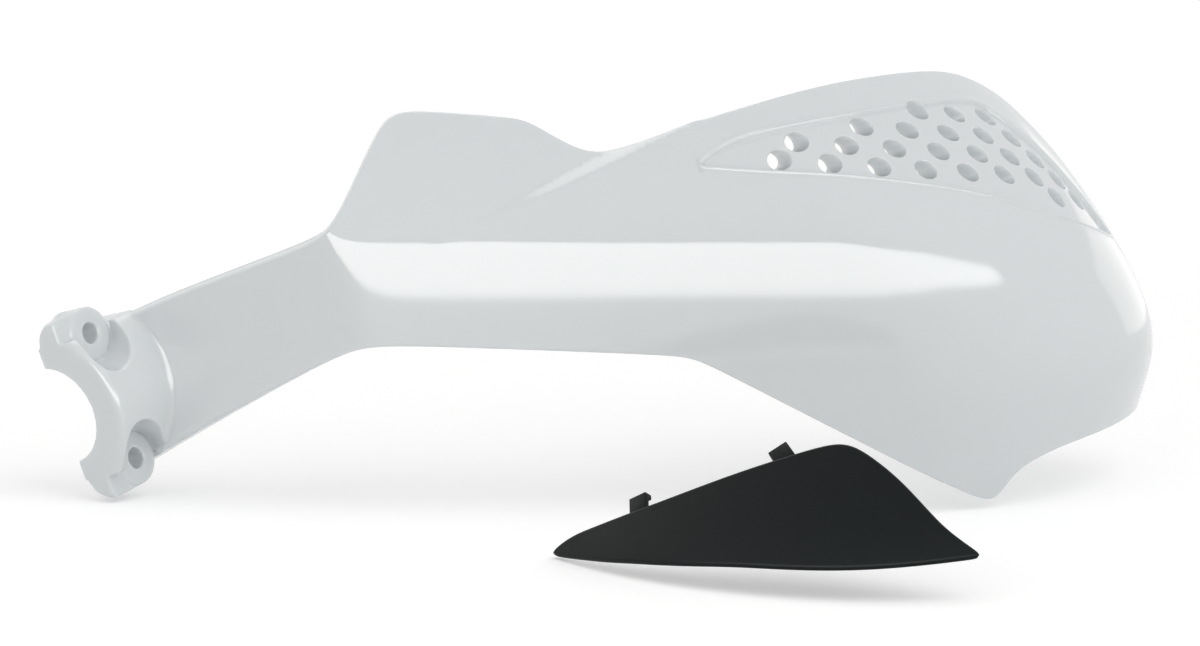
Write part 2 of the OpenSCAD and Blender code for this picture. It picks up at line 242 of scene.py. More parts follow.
# %% Points along an outline and inside it
def resample(loop, spacing):
    """Points at an even spacing, measured on the face, along a closed loop in (s, z)."""
    closed = np.vstack([loop, loop[:1]])
    on_face = face(closed[:, 0], closed[:, 1])
    steps = np.linalg.norm(np.diff(on_face, axis=0), axis=1)
    length = np.concatenate([[0], np.cumsum(steps)])
    places = np.arange(0, length[-1], length[-1] / round(length[-1] / spacing))
    return np.stack([np.interp(places, length, closed[:, k]) for k in (0, 1)], 1)


def soften(loop, times):
    for _ in range(times):
        loop = 0.5 * loop + 0.25 * (np.roll(loop, 1, 0) + np.roll(loop, -1, 0))
    return loop


def moved(loop, move):
    """The (s, z) points after a small 3D move along the face."""
    along, up, _ = face_frame(loop[:, 0], loop[:, 1])
    aa, au, uu = (along * along).sum(-1), (along * up).sum(-1), (up * up).sum(-1)
    ma, mu = (move * along).sum(-1), (move * up).sum(-1)
    det = aa * uu - au * au
    return loop + np.stack([(ma * uu - mu * au) / det, (mu * aa - ma * au) / det], -1)


def inside(points, loop):
    """Whether each (s, z) point lies inside the closed loop."""
    x, y = points[:, 0], points[:, 1]
    result = np.zeros(len(points), bool)
    for (x0, y0), (x1, y1) in zip(loop, np.roll(loop, -1, 0)):
        if y0 != y1:
            result ^= ((y0 > y) != (y1 > y)) & (x < (x1 - x0) * (y - y0) / (y1 - y0) + x0)
    return result


def nearest(points, targets):
    """Distance from each point to the nearest target."""
    return np.concatenate([np.sqrt(((chunk[:, None] - targets[None]) ** 2).sum(-1).min(1))
                           for chunk in np.array_split(points, max(1, len(points) // 400))])


# %% Holes in the sheet
RING, HOLE_SOFT, MOUTH_STEPS, SEAM_GAP = 40, 0.3, 3, 0.5
MOUTH_R = VENT_R + HOLE_SOFT
ring_turns = np.linspace(0, 2 * math.pi, RING, endpoint=False)


def hole(s, z):
    """A round hole's centre, normal and spokes, and the ring of its mouth in (s, z)."""
    along, _, normal = face_frame(np.float64(s), np.float64(z))
    a = unit(along)
    b = np.cross(normal, a)
    centre = face(s, z)
    spokes = np.cos(ring_turns)[:, None] * a + np.sin(ring_turns)[:, None] * b
    ring = np.tile([float(s), float(z)], (RING, 1))
    for _ in range(4):
        ring = moved(ring, centre + spokes * MOUTH_R - face(ring[:, 0], ring[:, 1]))
    return centre, normal, spokes, ring


def clear_of(holes, on_face, gap):
    """Whether each place on the face lies outside every mouth, by a gap."""
    clear = np.ones(len(on_face), bool)
    for centre, *_ in holes:
        clear &= np.linalg.norm(on_face - centre, axis=1) > MOUTH_R + gap
    return clear


# %% Sheet cut into triangles
def loop_edges(start, count):
    return [(start + i, start + (i + 1) % count) for i in range(count)]


def fixed_points(inner, holes, seams):
    """The points and edges that the triangles have to keep: edge, rings and seams."""
    parts, edges, total = [inner], loop_edges(0, len(inner)), len(inner)
    for *_, ring in holes:
        parts.append(ring)
        edges += loop_edges(total, RING)
        total += RING
    for seam in seams:
        spots = np.flatnonzero(clear_of(holes, face(seam[:, 0], seam[:, 1]), SEAM_GAP))
        parts.append(seam[spots])
        edges += [(total + i, total + (i + 1) % len(spots)) for i in range(len(spots))
                  if (spots[(i + 1) % len(spots)] - spots[i]) % len(seam) == 1]
        total += len(spots)
    return np.vstack(parts), edges


def filler(inner, fixed, holes, spacing):
    """An even field of points in staggered rows, away from the fixed ones."""
    s_values = np.arange(inner[:, 0].min(), inner[:, 0].max(), spacing)
    z_values = np.arange(inner[:, 1].min(), inner[:, 1].max(), spacing * 0.85)
    grid = np.stack(np.meshgrid(s_values, z_values), -1)
    grid[1::2, :, 0] += spacing / 2
    grid = grid.reshape(-1, 2)
    grid = grid[inside(grid, inner)]
    on_face = face(grid[:, 0], grid[:, 1])
    free = nearest(on_face, face(fixed[:, 0], fixed[:, 1])) > spacing * 0.55
    return grid[free & clear_of(holes, on_face, 0)]


def triangulate(inner, holes, seams, spacing):
    """Vertices in (s, z), triangles, and the vertex numbers of the edge and of each ring."""
    fixed, edges = fixed_points(inner, holes, seams)
    points = np.vstack([fixed, filler(inner, fixed, holes, spacing)])
    found, _, triangles, origin, _, _ = delaunay_2d_cdt(
        [Vector((float(s), float(z))) for s, z in points], edges, [], 0, 1e-5)
    cells = np.array([[v.x, v.y] for v in found])
    number = {old: new for new, olds in enumerate(origin) for old in olds}
    edge_ids = [number[i] for i in range(len(inner))]
    ring_ids = [[number[len(inner) + k * RING + i] for i in range(RING)]
                for k in range(len(holes))]
    triangles = np.array([t for t in triangles if len(t) == 3])
    hole_of = np.full(len(cells), -1)
    for k, ids in enumerate(ring_ids):
        hole_of[ids] = k
    corners = hole_of[triangles]
    over_hole = (corners[:, 0] >= 0) & (corners == corners[:, :1]).all(1)
    kept_ones = inside(cells[triangles].mean(1), inner) & ~over_hole
    return cells, triangles[kept_ones], edge_ids, ring_ids


# %% Front and back of the sheet
def sunk(s, z, depth):
    """Places at a depth below the face."""
    return face(s, z) - face_frame(s, z)[2] * depth(s, z)[:, None]


def sunk_normals(s, z, depth, step=0.08):
    return unit(np.cross(sunk(s + step, z, depth) - sunk(s - step, z, depth),
                         sunk(s, z + step, depth) - sunk(s, z - step, depth)))


def face_out(triangles, front, out):
    """Turns each triangle so that its front looks outward."""
    a, b, c = (front[triangles[:, k]] for k in range(3))
    facing = (np.cross(b - a, c - a) * out[triangles[:, 0]]).sum(1) > 0
    return np.where(facing[:, None], triangles, triangles[:, ::-1])


def back_normals(triangles, back, out):
    """The mean of the facets round each vertex, seen from behind."""
    facets = np.cross(back[triangles[:, 2]] - back[triangles[:, 0]],
                      back[triangles[:, 1]] - back[triangles[:, 0]])
    total = np.zeros_like(back)
    for k in range(3):
        np.add.at(total, triangles[:, k], facets)
    return unit(total + 1e-9 * out)


# %% Rolled edge and softened mouths
ROUND_STEPS = 4


def edge_radius(loop, radius, base, inward):
    """The radius along the edge, smaller in tight corners, where the sheet would fold."""
    for _ in range(16):
        inner = moved(loop, inward * radius)
        tight = nearest(face(inner[:, 0], inner[:, 1]), base)[:, None] < 0.94 * radius
        radius = np.where(tight, 0.85 * radius, radius)
    return np.minimum(radius, soften(radius, 4))


def rolled_edge(base, out, inward, radius, thick, shift):
    """Rings of points and normals between the front sheet's edge and the back one's."""
    quarter = math.pi / 2
    turns = [(t, (1 - math.cos(t)) * radius) for t in np.linspace(0, quarter, ROUND_STEPS + 1)[1:]]
    # Known fault: this half turns back into the wall, which leaves a small groove behind the edge.
    # With 1 + cos(t) it would roll on to the back sheet
    turns += [(t, thick - (1 - math.cos(t)) * radius)
              for t in np.linspace(quarter, 2 * quarter, ROUND_STEPS + 1)[:-1]]
    for t, below in turns:
        yield (base + inward * (1 - math.sin(t)) * radius - out * (shift + below),
               out * math.cos(t) - inward * math.sin(t))


def soft_mouth(end, spokes, normal, side):
    """Rings of points and normals that round one mouth of a hole."""
    turns = np.linspace(0, math.pi / 2, MOUTH_STEPS + 1)[1:]
    for t in (turns if side < 0 else turns[::-1]):
        sink = side * normal * HOLE_SOFT * (1 - math.cos(t))
        yield (end - spokes * HOLE_SOFT * math.sin(t) + sink,
               -side * normal * math.cos(t) - spokes * math.sin(t))


def band(one, two):
    """Faces between two loops of the same length."""
    size = len(one)
    return [(one[i], one[(i + 1) % size], two[(i + 1) % size], two[i]) for i in range(size)]


# %% The whole moulding
def moulding(loop, edge_r, edge_t, front_depth, back_depth, vents=(), seams=(), spacing=1.5,
             back_shift=lambda s, z, rim: (0, 0)):
    """Returns points, faces and normals of a moulding with the given outline."""
    base = face(loop[:, 0], loop[:, 1])
    out = face_frame(loop[:, 0], loop[:, 1])[2]
    inward = unit(np.cross(out, unit(np.roll(base, -1, 0) - np.roll(base, 1, 0))))
    radius = edge_radius(loop, edge_r(loop[:, 0])[:, None], base, inward)
    holes = [hole(s, z) for s, z in vents]
    cells, triangles, edge_ids, ring_ids = triangulate(
        moved(loop, inward * radius), holes, seams, spacing)
    s, z = cells[:, 0], cells[:, 1]
    outward = face_frame(s, z)[2]
    rim = nearest(face(s, z), base)
    front = sunk(s, z, front_depth)
    shift_s, shift_z = back_shift(s, z, rim)
    back = sunk(s + shift_s, z + shift_z, lambda s, z: back_depth(s, z, rim))
    triangles = face_out(triangles, front, outward)
    parts = [(front, sunk_normals(s, z, front_depth)),
             (back, back_normals(triangles, back, outward))]
    n = len(cells)
    faces = [tuple(t) for t in triangles] + [(t[2] + n, t[1] + n, t[0] + n) for t in triangles]

    def new_ring(points, normals):
        start = sum(len(part[0]) for part in parts)
        parts.append((points, normals))
        return list(range(start, start + len(points)))

    front_shift = front_depth(loop[:, 0], loop[:, 1])[:, None]
    edge = rolled_edge(base, out, inward, radius, edge_t(loop[:, 0])[:, None], front_shift)
    loops = [edge_ids, *(new_ring(*ring) for ring in edge), [i + n for i in edge_ids]]
    for one, two in zip(loops, loops[1:]):
        faces += [quad[::-1] for quad in band(one, two)]
    for (_, normal, spokes, _), ids in zip(holes, ring_ids):
        loops = [ids]
        for side, end in ((-1, front[ids]), (1, back[ids])):
            loops += [new_ring(*ring) for ring in soft_mouth(end, spokes, normal, side)]
        loops.append([i + n for i in ids])
        for one, two in zip(loops, loops[1:]):
            faces += band(one, two)
    points, normals = (np.vstack(arrays) for arrays in zip(*parts))
    return points, faces, unit(normals)


def mesh_object(name, points, faces, normals=None):
    mesh = bpy.data.meshes.new(name)
    mesh.from_pydata([tuple(p) for p in np.asarray(points) * MM], [], faces)
    mesh.polygons.foreach_set("use_smooth", [True] * len(mesh.polygons))
    mesh.validate()
    if normals is not None:
        mesh.normals_split_custom_set_from_vertices([tuple(v) for v in normals])
    return placed(name, mesh)


# %% [markdown]
# ## Shield and arm
# The real guard is one injection moulding. Its wall is about 3.6 mm, thicker behind the vents. A
# bead runs along the back of its edge, flanges make the arm stiff, and three ribs cross the arm's
# back. The depth of the back sheet below the face says all of this, so that the ribs need no
# booleans, and the outline is walked at even steps, so that its edge has no kinks.

# %% Outline and edge
ARM_FADE, END_R = 14, 22


def armness(s):
    """1 on the arm and 0 on the shield."""
    return 1 - smooth((s - BEND_X + ARM_FADE) / ARM_FADE)


def edge_round(s):
    return EDGE_R + (ARM_EDGE_R - EDGE_R) * armness(s)


def flange(s):
    return WALL + RIM_H + (FLANGE_D - WALL - RIM_H) * armness(s)


s_fine = np.linspace(ROOT_X, WRAP_END, 900)
cut = np.maximum(0, s_fine - WRAP_END + END_R)
corner = END_R - np.sqrt(END_R * END_R - cut * cut)
low_line = cross_z(s_fine, low_edge, -45, WAIST_Z + 4) + 0.6 * corner
high_line = cross_z(s_fine, top_edge, WAIST_Z - 4, 115) - corner
end_z = np.linspace(low_line[-1], high_line[-1], 40)[1:-1]
outline = np.vstack([np.stack([s_fine, low_line], 1), np.stack([WRAP_END + 0 * end_z, end_z], 1),
                     np.stack([s_fine, high_line], 1)[::-1]])
outline = resample(soften(resample(outline, 0.8), 3), 1.1)
print("Outline of the guard:", len(outline), "points")

# %% [markdown]
# ## Vent panel
# The panel is sunk a little, so that its cover lies flush, and a thin bead runs round it. A texture
# could fake both, but real depth catches the light from every side. The distance to the panel's
# edge gives one smooth profile of bead and slope, and seams along that edge give it its own rows of
# vertices. The vents lean with the mould's pull: the back sheet moves a little along the face.

# %% Border of the panel
BORDER_W, BEAD_H, BEAD_W, BEAD_OUT = 0.6, 0.45, 0.42, 0.8


def panel_loop(shrink, lift=0.0, start=3):
    s = np.linspace(PANEL_S + 3 * shrink + start, PANEL_END - shrink, 260)
    low, high = run(s, panel_low) + shrink, run(s, panel_top) - shrink
    high = high + lift * smooth((s - PANEL_S) / 50) * smooth((PANEL_END - s) / 10)
    side = np.linspace(low[-1], high[-1], 30)[1:-1]
    loop = np.vstack([np.stack([s, low], 1), np.stack([s[-1] + 0 * side, side], 1),
                      np.stack([s, high], 1)[::-1]])
    return resample(soften(resample(loop, 0.8), 4), 1.0)


panel_edge = resample(panel_loop(0, 1.5, -1), 0.8)
edge_points = face(panel_edge[:, 0], panel_edge[:, 1])
edge_inward = unit(np.cross(face_frame(panel_edge[:, 0], panel_edge[:, 1])[2],
                            np.roll(edge_points, -1, 0) - np.roll(edge_points, 1, 0)))
seams = [moved(panel_edge, edge_inward * shift)
         for shift in (-1.5, -1.1, -0.8, -0.5, -0.25, 0, 0.3)]


def recess(s, z):
    """Depth of the panel: a bead outside its edge, then a short slope to the full depth."""
    depth = np.zeros(len(s))
    near = np.flatnonzero((s > PANEL_S - 4) & (z > PANEL_Z - 34) & (z < PANEL_Z + 18))
    for part in np.array_split(near, max(1, len(near) // 400)):
        on_face = face(s[part], z[part])
        closest = ((on_face[:, None] - edge_points[None]) ** 2).sum(-1).argmin(1)
        within = ((on_face - edge_points[closest]) * edge_inward[closest]).sum(-1)
        bead = BEAD_H * np.exp(-((within + BEAD_OUT) / BEAD_W) ** 2)
        depth[part] = PANEL_DEPTH * smooth(within / BORDER_W + 0.5) - bead
    return depth


print("Border of the panel:", len(panel_edge), "points,", len(seams), "seams")

# %% Vents
VENT_START, VENT_RISE, ROW_SHIFT, VENT_SLOPE, VENT_CURVE = 38.2, 1.4, 9.5, 0.075, 0.0006
VENT_LEAN = (1.9, 1.9)
vent_rows = {-1: (7, 8), 0: (0, 7), 1: (0, 6), 2: (1, 5), 3: (2, 4)}
vents = []
for row, (first_place, last_place) in vent_rows.items():
    for k in range(first_place, last_place + 1):
        d = k * VENT_PITCH + row * ROW_SHIFT
        vents.append((PANEL_S + VENT_START + d,
                      PANEL_Z + VENT_RISE + row * ROW_STEP - VENT_SLOPE * d - VENT_CURVE * d * d))


def pad(s, z):
    """1 behind the vents and 0 beyond the panel."""
    return (smooth((z - run(s, panel_low)) / 5 + 1) * smooth((run(s, panel_top) - z) / 5 + 1)
            * smooth((s - PANEL_S) / 5) * smooth((PANEL_END - s) / 5 + 1))


def vent_lean(s, z, rim):
    """How far the back of the sheet moves along the face, so that the vents lean."""
    amount = smooth((rim - 3.5) / 7) * smooth((s - PANEL_S) / 25) * smooth((z - PANEL_Z) / 20 + 2.2)
    return -VENT_LEAN[0] * amount, VENT_LEAN[1] * amount


# %% Make the guard
RIB_START, RIB_STEP, RIB_HALF = 28, 15, 1.7


def shield_back(s, z, rim):
    wall = WALL + (VENT_WALL - WALL) * pad(s, z)
    bead = smooth((RIM_W + 0.7 - rim) / 0.9)
    ribs = sum(smooth((RIB_HALF - np.abs(s - (RIB_START + RIB_STEP * i))) / 0.8) for i in range(3))
    return wall + (flange(s) - wall) * np.maximum(bead, np.clip(ribs, 0, 1))


points, faces, normals = moulding(outline, edge_round, flange, recess, shield_back,
                                  vents=vents, seams=seams, back_shift=vent_lean)
print("Guard:", len(points), "points,", len(faces), "faces,", len(vents), "vents")

# %% [markdown]
# ## Cutting the clamp's bore out of the arm
# The arm's root lies inside the clamp, so the bar's bore and the bolt holes pass through both. They
# could be part of the outline, but they stand at a compound angle to the face, and a Boolean
# modifier does this best. It drops the normals, so they are looked up again by position.

# %% Cutters
def from_bmesh(name, shape):
    data = bpy.data.meshes.new(name)
    shape.to_mesh(data)
    shape.free()
    return placed(name, data)


def revolve(name, profile, steps=96):
    """Turns a profile of (radius, height) points round local Z."""
    shape = bmesh.new()
    rings = []
    for i in range(steps):
        x, y = math.cos(2 * math.pi * i / steps), math.sin(2 * math.pi * i / steps)
        rings.append([shape.verts.new((r * x * MM, r * y * MM, h * MM)) for r, h in profile])
    for one, two in zip(rings, rings[1:] + rings[:1]):
        for j in range(len(profile)):
            k = (j + 1) % len(profile)
            shape.faces.new((one[j], two[j], two[k], one[k]))
    bmesh.ops.remove_doubles(shape, verts=shape.verts, dist=1e-7)
    bmesh.ops.dissolve_degenerate(shape, edges=shape.edges, dist=1e-7)
    bmesh.ops.recalc_face_normals(shape, faces=shape.faces)
    return from_bmesh(name, shape)


def rod(name, radius, low, high, steps=64):
    return revolve(name, [(0, low), (radius, low), (radius, high), (0, high)], steps)


def block(name, size, low):
    shape = bmesh.new()
    bmesh.ops.create_cube(shape, size=1)
    made = from_bmesh(name, shape)
    made.data.transform(Matrix.Translation(Vector(low) * MM)
                        @ Matrix.Diagonal((*(Vector(size) * MM), 1))
                        @ Matrix.Translation((0.5, 0.5, 0.5)))
    return made


def apply_modifiers(target):
    evaluated = target.evaluated_get(bpy.context.evaluated_depsgraph_get())
    data = bpy.data.meshes.new_from_object(evaluated)
    target.modifiers.clear()
    target.data = data


def boolean(target, cutter, operation):
    modifier = target.modifiers.new("cut", "BOOLEAN")
    modifier.solver = "EXACT"
    modifier.operation = operation
    modifier.object = cutter
    apply_modifiers(target)
    bpy.data.objects.remove(cutter)


# %% Clamp sizes, and what is cut out of clamp and arm alike
BORE_R, BAR_RELIEF, CLAMP_R, CLAMP_LEN, HUB_BACK = 14.5, 1.0, 25.0, 26.0, 4.0
BOLT_OFF, BOLT_R, SPLIT_X, SEAT_X, BOSS_R = 19.5, 3.1, 2.0, 12.0, 7.8
POCKET_X, POCKET_R, POCKET_LEAN, POCKET_IN, POCKET_BACK = 11.0, 8.2, 20, 14, 0.7
CLAMP_TURN = (90 + 12.3, -15, -40)
clamp_turn = Euler([math.radians(a) for a in CLAMP_TURN], "XYZ").to_matrix().to_4x4()
half = CLAMP_LEN / 2


def turned(made, shift, y_turn, z_turn=0.0):
    made.data.transform(Matrix.Translation(Vector(shift) * MM)
                        @ Matrix.Rotation(math.radians(z_turn), 4, "Z")
                        @ Matrix.Rotation(math.radians(y_turn), 4, "Y"))
    return made


def pockets():
    """The leaning pockets round the bolts' seats, one on each side of the bar."""
    for side in (-1, 1):
        made = turned(rod("pocket", POCKET_R, -40, 40, 96),
                      (POCKET_X, side * BOLT_OFF, -POCKET_BACK),
                      90 - POCKET_LEAN, -side * POCKET_IN)
        kept_side = block("pocket_side", (CLAMP_R - POCKET_X, 100, 60), (POCKET_X, -50, -30))
        boolean(made, kept_side, "INTERSECT")
        yield made


def holes_and_bore():
    """The bore, wider behind the clamp so that the arm clears the bar, and the bolt holes."""
    relief_r, reach = BORE_R + BAR_RELIEF, 2 * CLAMP_LEN
    yield revolve("bore", [(0, -reach), (relief_r, -reach), (relief_r, -half),
                           (BORE_R, -half), (BORE_R, reach), (0, reach)], 160)
    for side in (-1, 1):
        yield turned(rod("bolt", BOLT_R, 0, 50), (0, side * BOLT_OFF, 0), 90)


# %% Cut the arm
shield = mesh_object("guard_shield", points, faces, normals)
split = bmesh.new()
split.from_mesh(shield.data)
bolt_way = clamp_turn.to_3x3() @ Vector((1, 0, 0))
cut = bmesh.ops.bisect_plane(split, geom=split.verts[:] + split.edges[:] + split.faces[:],
                             plane_co=bolt_way * SPLIT_X * MM, plane_no=-bolt_way, clear_outer=True)
rim_edges = [edge for edge in cut["geom_cut"] if isinstance(edge, bmesh.types.BMEdge)]
bmesh.ops.edgenet_fill(split, edges=rim_edges)
bmesh.ops.recalc_face_normals(split, faces=split.faces)
print("Open edges after the split:", sum(not edge.is_manifold for edge in split.edges))
split.to_mesh(shield.data)
split.free()
for cutter in [*pockets(), *holes_and_bore()]:
    cutter.data.transform(clamp_turn)
    boolean(shield, cutter, "DIFFERENCE")

# %% Look the normals up again
def read(items, name, width, kind=float):
    values = np.zeros(len(items) * width, kind)
    items.foreach_get(name, values)
    return values.reshape(-1, width) if width > 1 else values


mesh = shield.data
before = {tuple(np.round(p, 4)): i for i, p in enumerate(points)}
places = read(mesh.vertices, "co", 3) / MM
kept = np.array([before.get(tuple(np.round(p, 4)), -1) for p in places])
mesh.polygons.foreach_set("use_smooth", [True] * len(mesh.polygons))
mesh.set_sharp_from_angle(angle=math.radians(40))
# A corner keeps its normal from the moulding, unless its vertex is new
corner_vertex = read(mesh.loops, "vertex_index", 1, int)
chosen = np.where((kept[corner_vertex] >= 0)[:, None], normals[kept[corner_vertex]],
                  read(mesh.corner_normals, "vector", 3))
mesh.normals_split_custom_set([tuple(v) for v in chosen])
print("Vertices with their own normal after the cut:", (kept >= 0).sum(), "of", len(kept))

# %% [markdown]
# ## Half of the handlebar clamp
# The clamp's half is a thick half ring. A boss stands round each bolt hole in a leaning pocket, and
# a web joins it to the near edge. The shape is built from turned profiles, joined and cut. A Bevel
# modifier would soften its edges, but it fails where a bore meets a boss, so the shape is remeshed
# to even squares at the end and smoothed, as a polished mould is.

# %% Ring, pockets, bosses and webs
TOP_R, WEB_R = 2, POCKET_X - SPLIT_X - 1
top_turns = np.linspace(0, math.pi / 2, 6)


def round_rod(name, radius, low, high, inner=0.0):
    """A rod, or a pipe, whose top edge is rounded."""
    profile = [(inner, low), (radius, low)]
    profile += [(radius - TOP_R + TOP_R * math.cos(t), high - TOP_R + TOP_R * math.sin(t))
                for t in top_turns]
    return revolve(name, profile + [(inner, high)], 160)


clamp = round_rod("clamp_half", CLAMP_R, -half - HUB_BACK, half, 8)
boolean(clamp, block("kept_half", (50, 2 * BOLT_OFF + 2, 60), (SPLIT_X, -BOLT_OFF - 1, -30)),
        "INTERSECT")
for cutter in pockets():
    boolean(clamp, cutter, "DIFFERENCE")
for side in (-1, 1):
    boss = turned(rod("boss", BOSS_R, SPLIT_X, SEAT_X, 96), (0, side * BOLT_OFF, 0), 90)
    web = round_rod("web", WEB_R, 0, half)
    web.data.transform(Matrix.Translation(Vector((SPLIT_X + WEB_R, side * BOLT_OFF, 0)) * MM))
    boolean(web, block("web_top", (POCKET_X - SPLIT_X + 1, 80, 40), (SPLIT_X - 1, -40, -5)),
            "INTERSECT")
    boolean(clamp, web, "UNION")
    boolean(clamp, boss, "UNION")
print("Ring with bosses and webs:", len(clamp.data.polygons), "faces")

# %% [markdown]
# ## Fillet from the ring to the arm
# A mould has no sharp inner corner, so the ring runs into the arm with a small fillet. The arm's
# face is twisted there, so a bevel would find no clean edge. A profile is swept round the ring
# instead, at the height where each line beside the bar meets the arm, and it fades at both ends.

# %% Sweep the fillet
FILLET, SWEEP_HALF, SWEEP_STEPS, FADE_DEGREES = 1.2, 52, 90, 9
turn_back = np.array(clamp_turn.to_3x3())


def arm_depth(x, y):
    """Place along the bar at which a line beside it meets the arm's face."""
    low, high = -30 + 0 * x, 10 + 0 * x
    for _ in range(24):
        middle = (low + high) / 2
        place = np.stack([x, y, middle], -1) @ turn_back.T
        behind = place[..., 1] > arm_y(place[..., 0], place[..., 2])
        low, high = np.where(behind, middle, low), np.where(behind, high, middle)
    return (low + high) / 2


angles = np.radians(np.linspace(-SWEEP_HALF, SWEEP_HALF, SWEEP_STEPS))
fade = np.clip((SWEEP_HALF + 0.5 - np.abs(np.degrees(angles))) / FADE_DEGREES, 0.05, 1)
sweep = [(CLAMP_R - 2, -2), (CLAMP_R + FILLET + 0.6, -2), (CLAMP_R + FILLET + 0.6, -0.25)]
sweep += [(CLAMP_R + FILLET * (1 - math.sin(t)), FILLET * (1 - math.cos(t)))
          for t in np.linspace(0, math.pi / 2, 7)]
sweep += [(CLAMP_R - 2, FILLET)]
rows = []
for reach, rise in sweep:
    out = np.where(reach > CLAMP_R, CLAMP_R + (reach - CLAMP_R) * fade, reach)
    x, y = out * np.cos(angles), out * np.sin(angles)
    rows.append(np.stack([x, y, arm_depth(x, y) + np.where(rise > 0, rise * fade, rise)], -1))
fillet_points = np.concatenate(np.stack(rows, 1))
count, total = len(sweep), len(fillet_points)
fillet_faces = [tuple(range(count))[::-1], tuple(range(total - count, total))]
for i in range(SWEEP_STEPS - 1):
    here, there = range(i * count, (i + 1) * count), range((i + 1) * count, (i + 2) * count)
    fillet_faces += [(here[j], here[(j + 1) % count], there[(j + 1) % count], there[j])
                     for j in range(count)]
print("Fillet:", len(fillet_faces), "faces round", 2 * SWEEP_HALF, "degrees of the ring")

# %% Join the fillet, drill, and soften the edges
VOXEL, SMOOTH_PASSES = 0.36, 6
fillet = mesh_object("fillet", fillet_points, fillet_faces)
facing_out = bmesh.new()
facing_out.from_mesh(fillet.data)
bmesh.ops.recalc_face_normals(facing_out, faces=facing_out.faces)
facing_out.to_mesh(fillet.data)
facing_out.free()
for cutter in pockets():
    boolean(fillet, cutter, "DIFFERENCE")
boolean(clamp, fillet, "UNION")
for cutter in holes_and_bore():
    boolean(clamp, cutter, "DIFFERENCE")
remesh = clamp.modifiers.new("even_mesh", "REMESH")
remesh.mode = "VOXEL"
remesh.voxel_size = VOXEL * MM
apply_modifiers(clamp)
soft = bmesh.new()
soft.from_mesh(clamp.data)
for _ in range(SMOOTH_PASSES):
    bmesh.ops.smooth_vert(soft, verts=soft.verts, factor=0.5,
                          use_axis_x=True, use_axis_y=True, use_axis_z=True)
soft.to_mesh(clamp.data)
soft.free()
clamp.data.transform(clamp_turn)
clamp.data.polygons.foreach_set("use_smooth", [True] * len(clamp.data.polygons))
print("Clamp half:", len(clamp.data.polygons), "faces")

# %% [markdown]
# ## Vent cover
# The cover closes the vents in cold weather. It has the panel's own curve, because it snaps into
# it, so it is made from the same formula, one gap smaller, and only then turned and set down in
# front of the guard. Two hooks on its upper edge hold it in the guard. They are small bent plates,
# so each is a profile with a width, set on the cover's edge, with its own edges bevelled.

# %% Vent cover
COVER_EDGE_R, COVER_MIDDLE = 1.1, (-250, 0, -72)
COVER_PLACE, COVER_TURN = (200.9, -135, -7.4), (21.8, -8.5, -56.2)


def constant(value):
    return lambda s, *rest: np.full(np.shape(s), float(value))


cover_outline = resample(soften(panel_loop(COVER_GAP), 6), 0.9)
cover_points, cover_faces, cover_normals = moulding(
    cover_outline, constant(COVER_EDGE_R), constant(COVER_T), constant(PANEL_DEPTH - COVER_T),
    constant(PANEL_DEPTH), spacing=2.0)
cover = mesh_object("vent_cover_panel", cover_points, cover_faces, cover_normals)
cover_move = (Matrix.Translation(Vector(COVER_PLACE) * MM)
              @ Euler([math.radians(a) for a in COVER_TURN], "XYZ").to_matrix().to_4x4()
              @ Matrix.Translation(Vector(COVER_MIDDLE) * MM))
cover.data.transform(cover_move)
print("Cover:", len(cover_faces), "faces")

# %% Hooks on the cover
HOOK_PLACES, HOOK_HALF_W, HOOK_TURN, HOOK_BEVEL = (57, 105), 3, 15, 0.3
hook_side = [(-4, -0.6), (6, -0.6), (6, -3.4), (4.4, -3.4), (4.4, -2.2), (-4, -2.2)]


def hook(name, s):
    z = run(s, panel_top) - COVER_GAP
    along, _, normal = face_frame(np.float64(s), np.float64(z))
    a = unit(along)
    b = np.cross(normal, a)
    place = Matrix([(*row, 0) for row in zip(a, b, normal)] + [(0, 0, 0, 1)])
    place.translation = Vector(face(s, z)) * MM
    shape = bmesh.new()
    left = [shape.verts.new((-HOOK_HALF_W * MM, y * MM, h * MM)) for y, h in hook_side]
    right = [shape.verts.new((HOOK_HALF_W * MM, y * MM, h * MM)) for y, h in hook_side]
    shape.faces.new(left)
    shape.faces.new(right[::-1])
    for i in range(len(hook_side)):
        j = (i + 1) % len(hook_side)
        shape.faces.new((left[j], left[i], right[i], right[j]))
    bmesh.ops.recalc_face_normals(shape, faces=shape.faces)
    bmesh.ops.bevel(shape, geom=shape.edges[:], offset=HOOK_BEVEL * MM, segments=2, profile=0.5,
                    affect="EDGES")
    made = from_bmesh(name, shape)
    made.data.polygons.foreach_set("use_smooth", [True] * len(made.data.polygons))
    made.data.transform(cover_move @ place @ Matrix.Rotation(math.radians(HOOK_TURN), 4, "Z"))
    return made


hooks = [hook(f"cover_hook_{i + 1}", PANEL_S + d) for i, d in enumerate(HOOK_PLACES)]
print("Hooks:", [made.name for made in hooks])

# %% [markdown]
# ## Finishes
# Polypropylene is the usual plastic of such guards: tough, a little waxy, and never fully smooth.
# Principled BSDF has all that it needs: a little light that goes through, a gloss, and a bump.
# Colours are written as they look on screen, and one function turns them into linear light. One
# more adds a node, so that each finish below reads as a short recipe.

# %% Colour and node helpers
def linear(hex_code):
    values = [int(hex_code[i:i + 2], 16) / 255 for i in (1, 3, 5)]
    return [v / 12.92 if v <= 0.04045 else ((v + 0.055) / 1.055) ** 2.4 for v in values] + [1]


def add(tree, kind, settings=None, links=None):
    """Adds a node, sets its properties and inputs, and links {input: output socket}."""
    node = tree.nodes.new(kind)
    for key, value in (settings or {}).items():
        if isinstance(key, str) and hasattr(node, key):
            setattr(node, key, value)
        else:
            node.inputs[key].default_value = value
    for key, socket in (links or {}).items():
        tree.links.new(socket, node.inputs[key])
    return node


